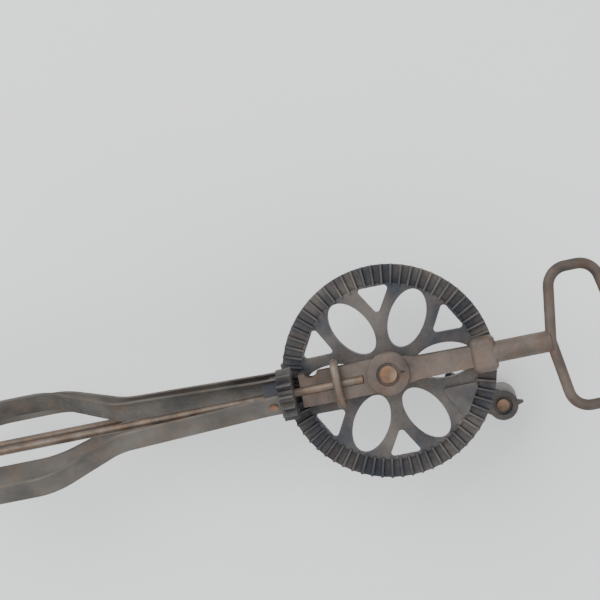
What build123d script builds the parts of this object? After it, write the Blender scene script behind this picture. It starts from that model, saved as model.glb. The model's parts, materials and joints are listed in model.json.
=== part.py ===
from build123d import *
import os
from math import cos, radians, sin

# Hand-cranked rotary egg beater. A crank wheel with face teeth on both sides drives two pinions,
# one in front and one behind, and each pinion turns a dasher made of two bent strips.
# X runs along the tool towards the handle and Z is the wheel's axis towards the frame. The origin
# is the wheel's middle until the end, when everything shifts to stand on the lowest point. In mm.

# Wheel
WHEEL_R = 38.0
WHEEL_TEETH = 65
TOOTH_BAND = 7.1
RIM_HALF = 1.2
SPOKE_HALF = 2.2
TOOTH_CREST = 3.4
CREST_W, TOOTH_BASE_W = 0.7, 1.3
HUB_R = 7.0
PETALS = 6
PETAL_MID_R, PETAL_LONG, PETAL_WIDE = 19.9, 21.6, 12.6
GAP_APEX_R, GAP_HALF_W, GAP_CORNER = 20.2, 6.2, 1.2
WEB_ANGLE = 330.0

# Crank
STAND_IN_R, STAND_OUT_R, STAND_HALF_W = 20.0, 29.4, 3.6
ARM_FRONT, ARM_BACK = -21.0, -24.6
LUG_ANGLE, LUG_MID_R, LUG_R = -31.7, 43.7, 5.5
LUG_RECESS_R, LUG_RECESS = 3.5, 1.2
KNOB_R, KNOB_L, KNOB_EDGE = 5.5, 22.0, 1.2
STUD_R, STUD_HEAD_R, STUD_HEAD = 1.6, 2.2, 0.9
KNOB_WASHER_R, KNOB_WASHER_T = 3.6, 0.6

# Pinions and wire
PINION_TEETH = 14
PINION_TIP_R, PINION_ROOT_R = 9.2, 6.5
PINION_TIP_W, PINION_ROOT_W = 0.7, 1.8
PINION_L = 5.1
MESH_DEPTH = 1.6
WIRE_R = 1.45
FRONT_END_X, REAR_END_X, BEND_X = -9.0, -30.5, -183.6
BEND_R = 9.5

# Dashers
COLLAR_L, COLLAR_HALF = 5.4, 3.5
STRIP_W, STRIP_T = 9.5, 1.0
NECK_X, NECK_R = -98.0, 6.9
BULB_R = 18.8
BULB_START_X, BULB_END_X, DASHER_END = -122.0, -150.0, -168.0
STRIP_END_R = 2.2
FRONT_TURN, REAR_TURN = 136.0, 122.0
RIVET_R, RIVET_HEAD_R, RIVET_HEAD = 0.8, 1.5, 0.5
BOSS_TIP_R, BOSS_TIP_L = 4.2, 2.4
FOOT_R, FOOT_L = 2.8, 2.0

# Frame
FRAME_BACK = 4.2
PLATE_W, PLATE_TOP, PLATE_END_X = 11.6, 11.3, -31.2
BOSS_R, BOSS_TOP = 7.4, 12.0
BOSS_RECESS_R, BOSS_RECESS = 4.2, 1.2
BAR_W, BAR_TOP = 8.0, 10.6
LUMP_X, LUMP_L, LUMP_W, LUMP_TOP = 34.0, 9.0, 12.4, 12.0
SHANK_R, SHANK_Z = 3.8, 8.0
HANDLE_R = 1.95
HANDLE_NEAR_X, HANDLE_FAR_X, HANDLE_HALF = 57.7, 82.0, 24.7
PIN_R, PIN_HEAD_R, PIN_HEAD = 2.4, 3.0, 1.0
PIN_BACK_R, PIN_BACK = 4.2, 1.6
WASHER_R, WASHER_T = 5.2, 0.6
CLAMP_X, CLAMP_R = -18.0, 1.5

RUN = 0.05                  # running clearance on a radius
GAP = 0.2                   # clearance between faces that turn past each other

RIM_IN = WHEEL_R - TOOTH_BAND
AXIS_Z = TOOTH_CREST - MESH_DEPTH + PINION_TIP_R
PINION_X = -WHEEL_R - 0.6
PINION_BACK_X = PINION_X + PINION_L
COLLAR_X = PINION_X - COLLAR_L
LEVEL = COLLAR_HALF + STRIP_T / 2
RATIO = WHEEL_TEETH / PINION_TEETH
KNOB_TOP = ARM_BACK - KNOB_WASHER_T - GAP
KNOB_END = KNOB_TOP - KNOB_L
TIP_FACE = DASHER_END - STRIP_T / 2


def disc(radius, low, high):
    """A cylinder on Z from one height to another."""
    return Pos(0, 0, low) * Cylinder(radius, high - low, align=(Align.CENTER, Align.CENTER, Align.MIN))


def rod(radius, low, high, z=0.0):
    """A cylinder along X from one end to the other."""
    return Pos(low, 0, z) * Rot(0, 90, 0) * disc(radius, 0, high - low)


def slab(x_low, x_high, half_w, low, high):
    """A box centred on the X axis."""
    size = (x_high - x_low, 2 * half_w, high - low)
    return Pos(x_low, 0, low) * Box(*size, align=(Align.MIN, Align.CENTER, Align.MIN))


def prism(points, low, high):
    """A prism on a polygon given in XY."""
    return Pos(0, 0, low) * extrude(make_face(Polyline(*points, close=True)), high - low)


def only(shape):
    """The single solid in a boolean's result."""
    found = shape.solids()
    if len(found) != 1:
        raise ValueError(f"expected one solid and found {len(found)}")
    return found[0]


def around(shape, count, start=0.0):
    """Copies of a shape turned evenly about Z."""
    return [Rot(0, 0, start + i * 360 / count) * shape for i in range(count)]


def wheel_tooth():
    """One radial ridge that stands on both faces of the rim."""
    crest, base = CREST_W / 2, TOOTH_BASE_W / 2
    section = make_face(Polyline((-crest, -TOOTH_CREST), (-base, -RIM_HALF), (-base, RIM_HALF),
                                 (-crest, TOOTH_CREST), (crest, TOOTH_CREST), (base, RIM_HALF),
                                 (base, -RIM_HALF), (crest, -TOOTH_CREST), close=True))
    return (Pos(RIM_IN, 0, 0) * extrude(Plane.YZ * section, TOOTH_BAND, dir=(1, 0, 0))).solids()[0]


def gap_shape(grow=0.0):
    """Rounded triangle near the rim, pointing at the hub."""
    far = RIM_IN - 0.4 + grow
    face = make_face(Polyline((GAP_APEX_R - grow, 0), (far, GAP_HALF_W + grow), (far, -GAP_HALF_W - grow),
                              close=True))
    return fillet(face.vertices(), GAP_CORNER)


def drive_wheel():
    """Rim toothed on both faces, hub, and spokes left between ovals and triangles."""
    plate = disc(WHEEL_R, -RIM_HALF, RIM_HALF) + disc(RIM_IN + 0.6, -SPOKE_HALF, SPOKE_HALF)
    web = Rot(0, 0, WEB_ANGLE) * extrude(gap_shape(0.8), TOOTH_CREST, both=True)
    body = plate.fuse(*around(wheel_tooth(), WHEEL_TEETH)) & disc(WHEEL_R, -TOOTH_CREST, TOOTH_CREST)
    body = body + disc(HUB_R, -TOOTH_CREST, TOOTH_CREST) + web
    petal = Pos(PETAL_MID_R, 0, 0) * extrude(Ellipse(PETAL_LONG / 2, PETAL_WIDE / 2), 10, both=True)
    gap = extrude(gap_shape(), 10, both=True)
    gaps = [Rot(0, 0, 30 + 60 * i) * gap for i in range(PETALS - 1)]
    return only(body.cut(*around(petal, PETALS), *gaps, disc(PIN_R + RUN, -10, 10)))


def at_lug(shape):
    """Moves a shape from Z to the knob's axis."""
    spot = radians(LUG_ANGLE)
    return Pos(LUG_MID_R * cos(spot), LUG_MID_R * sin(spot), 0) * shape


def crank_arm():
    """Foot behind the solid web, and the arm with the lug that carries the knob."""
    foot = prism([(STAND_IN_R + 2, -STAND_HALF_W), (STAND_IN_R + 2, STAND_HALF_W),
                  (STAND_OUT_R, STAND_HALF_W), (STAND_OUT_R, -STAND_HALF_W)], ARM_BACK, -TOOTH_CREST)
    arm = prism([(STAND_IN_R, 4.4), (LUG_MID_R, LUG_R - 0.6), (LUG_MID_R, -LUG_R + 0.6),
                 (STAND_IN_R, -4.4)], ARM_BACK, ARM_FRONT)
    tail = at_lug(prism([(0, 2.6), (LUG_R + 2.0, 0.4), (LUG_R + 2.0, -0.4), (0, -2.6)],
                        ARM_BACK + 0.4, ARM_FRONT - 0.6))
    body = Rot(0, 0, WEB_ANGLE) * foot + Rot(0, 0, LUG_ANGLE) * arm
    body += at_lug(disc(LUG_R, ARM_BACK, ARM_FRONT)) + tail
    body -= at_lug(disc(LUG_RECESS_R, ARM_FRONT - LUG_RECESS, ARM_FRONT + 1))
    return only(body - at_lug(disc(STUD_R, ARM_BACK - 1, ARM_FRONT)))


def knob_stud():
    """Rivet through lug and knob, with a head at each end."""
    seat = ARM_FRONT - LUG_RECESS
    body = disc(STUD_R, KNOB_END, seat) + disc(STUD_HEAD_R, seat, seat + STUD_HEAD)
    return only(at_lug(body + disc(STUD_HEAD_R, KNOB_END, KNOB_END + STUD_HEAD)))


def knob_washer():
    return only(at_lug(disc(KNOB_WASHER_R, ARM_BACK - KNOB_WASHER_T, ARM_BACK) - disc(STUD_R, -60, 0)))


def crank_knob():
    """Straight round grip that turns freely on the stud."""
    body = disc(KNOB_R, KNOB_END, KNOB_TOP)
    body = fillet(body.edges().filter_by(GeomType.CIRCLE), KNOB_EDGE)
    body -= disc(STUD_R + RUN, KNOB_END - 1, KNOB_TOP + 1)
    return only(at_lug(body - disc(STUD_HEAD_R + GAP, KNOB_END - 1, KNOB_END + STUD_HEAD + GAP)))


def pinion(side, turn):
    """Pinion and flat-sided collar in one; side is 1 in front of the wheel and -1 behind it."""
    low, high = PINION_ROOT_R - 0.4, PINION_TIP_R
    root, tip = PINION_ROOT_W / 2, PINION_TIP_W / 2
    tooth = prism([(low, -root), (PINION_ROOT_R, -root), (high, -tip), (high, tip),
                   (PINION_ROOT_R, root), (low, root)], 0, PINION_L)
    gear = disc(PINION_ROOT_R, 0, PINION_L).fuse(*around(tooth, PINION_TEETH))
    gear = Pos(PINION_X, 0, 0) * Rot(0, 90, 0) * gear
    collar = Rot(turn, 0, 0) * slab(COLLAR_X, PINION_X, COLLAR_HALF, -3.6, 3.6)
    body = gear + collar - rod(WIRE_R + RUN, COLLAR_X - 1, PINION_BACK_X + 1)
    body = body.cut(rivet_shape(turn), rivet_shape(turn + 180))
    return only(Pos(0, 0, side * AXIS_Z) * body)


def strip_shape(turn):
    """One strip from collar to tip, bent out into half of the dasher's loop."""
    points = [(PINION_X - GAP, LEVEL), (COLLAR_X - 1, LEVEL), (NECK_X, NECK_R), (BULB_START_X, BULB_R),
              (BULB_END_X, BULB_R), (DASHER_END, 12.0), (DASHER_END, STRIP_END_R)]
    path = FilletPolyline(*points, radius=[20, 20, 28, 28, 9])
    section = Plane(origin=path @ 0, x_dir=(0, 1, 0), z_dir=path % 0) * Rectangle(STRIP_T, STRIP_W)
    return Rot(turn, 0, 0) * sweep(section, path=path)


def rivet_shape(turn):
    level = COLLAR_HALF + STRIP_T
    shape = disc(RIVET_R, level - 2.6, level) + disc(RIVET_HEAD_R, level, level + RIVET_HEAD)
    return Rot(turn, 0, 0) * Pos((PINION_X + COLLAR_X) / 2, 0, 0) * Rot(-90, 0, 0) * shape


def strip(side, turn):
    return only(Pos(0, 0, side * AXIS_Z) * (strip_shape(turn) - rivet_shape(turn)))


def rivet(side, turn):
    return only(Pos(0, 0, side * AXIS_Z) * rivet_shape(turn))


def tip_boss(side):
    """Flanged bush on the wire that both strips end on."""
    return only(rod(BOSS_TIP_R, TIP_FACE - BOSS_TIP_L, TIP_FACE, side * AXIS_Z)
                - rod(WIRE_R + RUN, TIP_FACE - 5, TIP_FACE + 1, side * AXIS_Z))


def foot_collar(side):
    """Collar fixed on the wire below the tip boss."""
    top = TIP_FACE - BOSS_TIP_L - GAP
    return only(rod(FOOT_R, top - FOOT_L, top, side * AXIS_Z) - rod(WIRE_R, top - 9, top + 1, side * AXIS_Z))


def spindle_wire():
    """One wire bent into a U, a leg on each side of the wheel."""
    path = Plane.XZ * FilletPolyline((FRONT_END_X, AXIS_Z), (BEND_X, AXIS_Z), (BEND_X, -AXIS_Z),
                                     (REAR_END_X, -AXIS_Z), radius=BEND_R)
    return only(sweep(Plane(origin=path @ 0, z_dir=path % 0) * Circle(WIRE_R), path=path))


def rear_washer():
    """Washer fixed on the rear leg above the pinion."""
    start = PINION_BACK_X + GAP
    return only(rod(3.4, start, start + 0.9, -AXIS_Z) - rod(WIRE_R, start - 1, start + 2, -AXIS_Z))


def clamp_shape():
    """Round band bent over the wire and down both sides of the plate."""
    top = AXIS_Z + WIRE_R + CLAMP_R
    side = PLATE_W / 2 + CLAMP_R
    path = Plane.YZ * FilletPolyline((-side, 6.4), (-side, top), (side, top), (side, 6.4), radius=3.4)
    band = sweep(Plane(origin=path @ 0, z_dir=path % 0) * Circle(CLAMP_R), path=path)
    return Pos(CLAMP_X, 0, 0) * band


def handle_loop():
    """Flattened oval of round section."""
    near, far, half = HANDLE_NEAR_X, HANDLE_FAR_X, HANDLE_HALF
    corners = [(near, 0), (near + 3.6, half), (far - 5.0, half), (far, 0), (far - 5.0, -half),
               (near + 3.6, -half)]
    path = Pos(0, 0, SHANK_Z) * FilletPolyline(*corners, radius=7.0, close=True)
    return sweep(Plane(origin=path @ 0, z_dir=path % 0) * Circle(HANDLE_R), path=path)


def frame_casting():
    """Plate with the wire's groove, hub boss, bar, lump over the rim, shank and handle loop."""
    half = PLATE_W / 2
    plate = prism([(PLATE_END_X, -half), (PLATE_END_X, half), (-3, half), (-3, -half)], FRAME_BACK, PLATE_TOP)
    boss = disc(BOSS_R, FRAME_BACK, BOSS_TOP)
    bar = prism([(0, half), (10, BAR_W / 2), (LUMP_X, BAR_W / 2 - 0.4), (LUMP_X, -BAR_W / 2 + 0.4),
                 (10, -BAR_W / 2), (0, -half)], FRAME_BACK, BAR_TOP)
    lump = Pos(LUMP_X, 0, FRAME_BACK) * Box(LUMP_L, LUMP_W, LUMP_TOP - FRAME_BACK,
                                            align=(Align.CENTER, Align.CENTER, Align.MIN))
    lump = fillet(lump.edges().filter_by(Axis.Z) + lump.edges().group_by(Axis.Z)[-1].edges(), 2.2)
    body = plate + boss + bar + lump + rod(SHANK_R, LUMP_X, HANDLE_NEAR_X, SHANK_Z) + handle_loop()
    groove = slab(PLATE_END_X - 1, FRONT_END_X + 0.2, WIRE_R, AXIS_Z, AXIS_Z + 9)
    groove += rod(WIRE_R, PLATE_END_X - 1, FRONT_END_X + 0.2, AXIS_Z)
    notch = Pos(-26.8, half + 0.6, 0) * disc(2.3, 0, 20)
    seat = BOSS_TOP - BOSS_RECESS
    nib = prism([(0, -2.2), (BOSS_RECESS_R + 2.0, 0), (0, 2.2)], seat, BOSS_TOP + 1)
    return only(body.cut(groove, notch, disc(BOSS_RECESS_R, seat, BOSS_TOP + 1), nib, disc(PIN_R, 0, 20)))


def axle_pin():
    """Pin the wheel turns on, peened over in the boss's recess."""
    seat = BOSS_TOP - BOSS_RECESS
    back = -TOOTH_CREST - GAP - WASHER_T
    return only(disc(PIN_R, back, seat) + disc(PIN_HEAD_R, seat, seat + PIN_HEAD)
                + disc(PIN_BACK_R, back - PIN_BACK, back))


def axle_washer(low):
    return only(disc(WASHER_R, low, low + WASHER_T) - disc(PIN_R, low - 1, low + 2))


def build():
    """Every node in the final frame, and the shift that put it there."""
    shapes = {
        "frame_casting": frame_casting(), "axle_pin": axle_pin(),
        "front_axle_washer": axle_washer(FRAME_BACK - WASHER_T),
        "rear_axle_washer": axle_washer(-TOOTH_CREST - GAP - WASHER_T),
        "spindle_wire": spindle_wire(), "clamp_ring": only(clamp_shape()),
        "rear_spindle_washer": rear_washer(), "drive_wheel": drive_wheel(), "crank_arm": crank_arm(),
        "knob_stud": knob_stud(), "knob_washer": knob_washer(), "crank_knob": crank_knob(),
    }
    for word, side, turn in (("front", 1, FRONT_TURN), ("rear", -1, REAR_TURN)):
        shapes[f"{word}_foot_collar"] = foot_collar(side)
        shapes[f"{word}_pinion"] = pinion(side, turn)
        shapes[f"{word}_tip_boss"] = tip_boss(side)
        for place, half_turn in (("near", 0), ("far", 180)):
            shapes[f"{word}_strip_{place}"] = strip(side, turn + half_turn)
            shapes[f"{word}_rivet_{place}"] = rivet(side, turn + half_turn)
    box = Compound(list(shapes.values())).bounding_box()
    shift = Vector(-(box.min.X + box.max.X) / 2, -(box.min.Y + box.max.Y) / 2, -box.min.Z)
    return {name: Pos(*shift) * shape for name, shape in shapes.items()}, shift


if __name__ == "__main__":
    os.makedirs("parts", exist_ok=True)
    placed, shift = build()
    for name, shape in placed.items():
        export_step(shape, f"parts/{name}.step")
    spot = radians(LUG_ANGLE)
    knob_x, knob_y = LUG_MID_R * cos(spot), LUG_MID_R * sin(spot)
    print("nodes", len(placed))
    print("hub", tuple(round(v, 4) for v in shift))
    print("knob_end", tuple(round(v, 4) for v in shift + Vector(knob_x, knob_y, KNOB_END)))
    print("handle", tuple(round(v, 4) for v in shift + Vector(HANDLE_NEAR_X + 12, 0, SHANK_Z)))
    print("axis_z", AXIS_Z, "pinion_x", PINION_X, "ratio", round(RATIO, 6))
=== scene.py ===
import json

import bpy
from mathutils import Euler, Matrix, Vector


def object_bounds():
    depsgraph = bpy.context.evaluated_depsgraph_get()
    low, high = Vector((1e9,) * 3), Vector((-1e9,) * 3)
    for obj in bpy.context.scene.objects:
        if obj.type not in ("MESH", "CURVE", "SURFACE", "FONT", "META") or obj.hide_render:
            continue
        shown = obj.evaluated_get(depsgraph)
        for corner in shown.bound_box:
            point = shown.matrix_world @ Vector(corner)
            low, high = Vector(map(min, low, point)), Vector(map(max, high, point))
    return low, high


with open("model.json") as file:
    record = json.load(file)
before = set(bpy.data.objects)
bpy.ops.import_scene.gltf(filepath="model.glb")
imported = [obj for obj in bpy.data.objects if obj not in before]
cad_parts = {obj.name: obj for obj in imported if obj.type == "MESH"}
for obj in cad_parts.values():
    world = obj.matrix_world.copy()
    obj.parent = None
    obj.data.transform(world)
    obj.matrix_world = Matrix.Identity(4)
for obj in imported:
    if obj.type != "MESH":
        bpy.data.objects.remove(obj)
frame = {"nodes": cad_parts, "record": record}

bl_info = {
    "name": "Rotary Egg Beater Looks",
    "version": (1, 0, 0),
    "blender": (4, 0, 0),
    "location": "View3D > Sidebar > Beater",
    "description": "Aged iron and steel finishes, floor, lights and camera for a rotary egg beater",
    "category": "Object",
}

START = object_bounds()

# Camera place in metres, turn in radians and lens in mm
CAM_POS = (0.08468, 0.06794, 0.68753)
CAM_ROT = (-0.07546, 0.07965, -0.20793)
CAM_LENS = 108.68
SENSOR_WIDTH = 36.0

# Metal, shared by every finish
METALLIC = 0.55
ROUGH_BELOW, ROUGH_ABOVE = 0.10, 0.14
BUMP_STRENGTH, BUMP_DEPTH = 0.28, 0.0004
BROAD_NOISE, PATCH_NOISE, FINE_NOISE = 0.25, 0.6, 4.0

# Stage: metres, watts, and colours from 0 to 1
FLOOR_HALF, FLOOR_DROP, FLOOR_ROUGH, FLOOR_NOISE = 3.0, 0.0005, 0.9, 9.0
FLOOR_DARK, FLOOR_LIGHT = (.86, .87, .86, 1), (.92, .93, .92, 1)
KEY_PLACE, KEY_SIZE, KEY_ENERGY = (-0.35, 0.55, 0.9), 0.9, 9.0
FILL_PLACE, FILL_SIZE, FILL_ENERGY = (0.7, -0.4, 0.8), 1.1, 4.0
SKY_COLOR, SKY_STRENGTH = (.95, .97, 1.0, 1.0), 1.0

# Slot: dark, light and rust colours, rust amount, roughness, and grain of the wear per metre
FINISHES = {
    "frame_iron": ((.060, .048, .041), (.150, .122, .102), (.190, .085, .042), .22, .62, 260.0),
    "wheel_iron": ((.042, .046, .054), (.125, .112, .100), (.140, .070, .040), .14, .60, 300.0),
    "knob_iron": ((.090, .086, .082), (.210, .195, .180), (.240, .120, .060), .15, .58, 320.0),
    "strip_steel": ((.060, .055, .050), (.155, .140, .122), (.220, .120, .065), .22, .48, 180.0),
    "wire_steel": ((.080, .062, .048), (.190, .150, .118), (.260, .130, .065), .30, .50, 340.0),
    "rivet_steel": ((.140, .085, .055), (.330, .220, .150), (.330, .140, .055), .55, .60, 500.0),
}
GROUPS = {
    "frame": ("frame_iron", "wire_steel", "rivet_steel"),
    "wheel": ("wheel_iron",),
    "dashers": ("strip_steel",),
    "knob": ("knob_iron",),
}


def wear_group():
    """Varying colour, roughness mask and normal shared by every finish."""
    found = bpy.data.node_groups.get("Wear")
    if found:
        return found
    group = bpy.data.node_groups.new("Wear", "ShaderNodeTree")
    face = group.interface
    for name, kind in (("Dark", "Color"), ("Light", "Color"), ("Rust", "Color"), ("Rust Amount", "Float"),
                       ("Grain", "Float")):
        face.new_socket(name=name, in_out="INPUT", socket_type="NodeSocket" + kind)
    for name, kind in (("Color", "Color"), ("Mask", "Float"), ("Normal", "Vector")):
        face.new_socket(name=name, in_out="OUTPUT", socket_type="NodeSocket" + kind)
    make, link = group.nodes.new, group.links.new
    given, result = make("NodeGroupInput"), make("NodeGroupOutput")
    coords = make("ShaderNodeTexCoord")
    place = coords.outputs["Object"]

    def noise(factor, detail):
        node, scale = make("ShaderNodeTexNoise"), make("ShaderNodeMath")
        scale.operation = "MULTIPLY"
        scale.inputs[1].default_value = factor
        link(given.outputs["Grain"], scale.inputs[0])
        link(scale.outputs[0], node.inputs["Scale"])
        link(place, node.inputs["Vector"])
        node.inputs["Detail"].default_value = detail
        return node.outputs[0]

    def ramp(source, low, high):
        node = make("ShaderNodeMapRange")
        node.inputs["From Min"].default_value = low
        node.inputs["From Max"].default_value = high
        link(source, node.inputs["Value"])
        return node.outputs[0]

    def mix(factor, first, second):
        node = make("ShaderNodeMix")
        node.data_type = "RGBA"
        link(factor, node.inputs[0])
        link(first, node.inputs[6])
        link(second, node.inputs[7])
        return node.outputs[2]

    broad, fine = noise(BROAD_NOISE, 6.0), noise(FINE_NOISE, 8.0)
    worn = mix(ramp(broad, 0.36, 0.64), given.outputs["Dark"], given.outputs["Light"])
    patches, amount = ramp(noise(PATCH_NOISE, 9.0), 0.48, 0.66), make("ShaderNodeMath")
    amount.operation = "MULTIPLY"
    link(patches, amount.inputs[0])
    link(given.outputs["Rust Amount"], amount.inputs[1])
    bump = make("ShaderNodeBump")
    bump.inputs["Strength"].default_value = BUMP_STRENGTH
    bump.inputs["Distance"].default_value = BUMP_DEPTH
    link(fine, bump.inputs["Height"])
    link(mix(amount.outputs[0], worn, given.outputs["Rust"]), result.inputs["Color"])
    link(ramp(fine, 0.3, 0.7), result.inputs["Mask"])
    link(bump.outputs[0], result.inputs["Normal"])
    return group


def finish(slot, wear):
    """Procedural metal for one material slot."""
    dark, light, rust, amount, rough, grain = FINISHES[slot]
    material = bpy.data.materials.new(slot)
    material.use_nodes = True
    nodes, links = material.node_tree.nodes, material.node_tree.links
    shader = nodes["Principled BSDF"]
    node = nodes.new("ShaderNodeGroup")
    node.node_tree = wear_group()
    for name, value in (("Dark", dark), ("Light", light), ("Rust", rust)):
        node.inputs[name].default_value = (*value, 1.0)
    node.inputs["Rust Amount"].default_value = amount * wear
    node.inputs["Grain"].default_value = grain
    spread = nodes.new("ShaderNodeMapRange")
    spread.inputs["To Min"].default_value = rough - ROUGH_BELOW
    spread.inputs["To Max"].default_value = rough + ROUGH_ABOVE
    links.new(node.outputs["Mask"], spread.inputs["Value"])
    links.new(spread.outputs[0], shader.inputs["Roughness"])
    links.new(node.outputs["Color"], shader.inputs["Base Color"])
    links.new(node.outputs["Normal"], shader.inputs["Normal"])
    shader.inputs["Metallic"].default_value = METALLIC
    return material


def paint(slots, wear):
    """Gives every CAD node of these slots its finish."""
    made = {slot: finish(slot, wear) for slot in slots}
    for part in frame["record"]["subparts"]:
        if part["material_slot"] in made:
            mesh = frame["nodes"][part["node"]].data
            mesh.materials.clear()
            mesh.materials.append(made[part["material_slot"]])


class BeaterSettings(bpy.types.PropertyGroup):
    """Settings shown in the sidebar"""
    wear: bpy.props.FloatProperty(
        name="Rust", description="How much rust shows", default=1.0, min=0.0, max=2.0)
    light: bpy.props.FloatProperty(
        name="Light", description="Strength of the lights", default=1.0, min=0.0, max=5.0)


def wear_of(context):
    return context.scene.beater_settings.wear


class BEATER_OT_frame(bpy.types.Operator):
    """Finish the frame, wire and rivets"""
    bl_idname = "beater.frame"
    bl_label = "Frame"

    def execute(self, context):
        paint(GROUPS["frame"], wear_of(context))
        return {"FINISHED"}


class BEATER_OT_wheel(bpy.types.Operator):
    """Finish the wheel, crank arm and pinions"""
    bl_idname = "beater.wheel"
    bl_label = "Wheel"

    def execute(self, context):
        paint(GROUPS["wheel"], wear_of(context))
        return {"FINISHED"}


class BEATER_OT_dashers(bpy.types.Operator):
    """Finish the dashers' strips"""
    bl_idname = "beater.dashers"
    bl_label = "Dashers"

    def execute(self, context):
        paint(GROUPS["dashers"], wear_of(context))
        return {"FINISHED"}


class BEATER_OT_knob(bpy.types.Operator):
    """Finish the crank knob"""
    bl_idname = "beater.knob"
    bl_label = "Knob"

    def execute(self, context):
        paint(GROUPS["knob"], wear_of(context))
        return {"FINISHED"}


def floor_material():
    """Pale surface with a faint, broad variation."""
    material = bpy.data.materials.new("Floor")
    material.use_nodes = True
    nodes, links = material.node_tree.nodes, material.node_tree.links
    coords, noise, tint = (nodes.new("ShaderNode" + kind) for kind in ("TexCoord", "TexNoise", "ValToRGB"))
    noise.inputs["Scale"].default_value = FLOOR_NOISE
    tint.color_ramp.elements[0].color = FLOOR_DARK
    tint.color_ramp.elements[1].color = FLOOR_LIGHT
    links.new(coords.outputs["Object"], noise.inputs["Vector"])
    links.new(noise.outputs[0], tint.inputs["Fac"])
    links.new(tint.outputs["Color"], nodes["Principled BSDF"].inputs["Base Color"])
    nodes["Principled BSDF"].inputs["Roughness"].default_value = FLOOR_ROUGH
    return material


def area_light(name, place, size, energy):
    """A square light aimed at the origin."""
    data = bpy.data.lights.new(name, "AREA")
    data.size = size
    data.energy = energy
    light = bpy.data.objects.new(name, data)
    light.location = place
    light.rotation_euler = Vector(place).to_track_quat("Z", "Y").to_euler()
    bpy.context.scene.collection.objects.link(light)


class BEATER_OT_stage(bpy.types.Operator):
    """Add the floor, lights, world and camera"""
    bl_idname = "beater.stage"
    bl_label = "Stage"

    def execute(self, context):
        strength = context.scene.beater_settings.light
        mesh = bpy.data.meshes.new("Floor")
        low, half = START[0][2] - FLOOR_DROP, FLOOR_HALF
        corners = [(-half, -half, low), (half, -half, low), (half, half, low), (-half, half, low)]
        mesh.from_pydata(corners, [], [(0, 1, 2, 3)])
        mesh.materials.append(floor_material())
        floor = bpy.data.objects.new("Floor", mesh)
        context.scene.collection.objects.link(floor)
        area_light("Key", KEY_PLACE, KEY_SIZE, KEY_ENERGY * strength)
        area_light("Fill", FILL_PLACE, FILL_SIZE, FILL_ENERGY * strength)
        world = bpy.data.worlds.new("Studio")
        world.use_nodes = True
        world.node_tree.nodes["Background"].inputs[0].default_value = SKY_COLOR
        world.node_tree.nodes["Background"].inputs[1].default_value = SKY_STRENGTH * strength
        context.scene.world = world
        data = bpy.data.cameras.new("Camera")
        data.lens = CAM_LENS
        data.sensor_width = SENSOR_WIDTH
        camera = bpy.data.objects.new("Camera", data)
        camera.location = CAM_POS
        camera.rotation_euler = Euler(CAM_ROT, "XYZ")
        context.scene.collection.objects.link(camera)
        context.scene.camera = camera
        return {"FINISHED"}


class BEATER_PT_panel(bpy.types.Panel):
    """Sidebar panel with the settings and one button per group"""
    bl_label = "Beater"
    bl_idname = "BEATER_PT_panel"
    bl_space_type = "VIEW_3D"
    bl_region_type = "UI"
    bl_category = "Beater"

    def draw(self, context):
        settings = context.scene.beater_settings
        self.layout.prop(settings, "wear")
        self.layout.prop(settings, "light")
        for name in ("frame", "wheel", "dashers", "knob", "stage"):
            self.layout.operator("beater." + name)


CLASSES = (
    BeaterSettings, BEATER_OT_frame, BEATER_OT_wheel, BEATER_OT_dashers, BEATER_OT_knob,
    BEATER_OT_stage, BEATER_PT_panel,
)


def register():
    for cls in CLASSES:
        bpy.utils.register_class(cls)
    bpy.types.Scene.beater_settings = bpy.props.PointerProperty(type=BeaterSettings)


def unregister():
    del bpy.types.Scene.beater_settings
    for cls in reversed(CLASSES):
        bpy.utils.unregister_class(cls)


def main():
    register()
    bpy.ops.beater.frame()
    bpy.ops.beater.wheel()
    bpy.ops.beater.dashers()
    bpy.ops.beater.knob()
    bpy.ops.beater.stage()


if __name__ == "__main__":
    main()
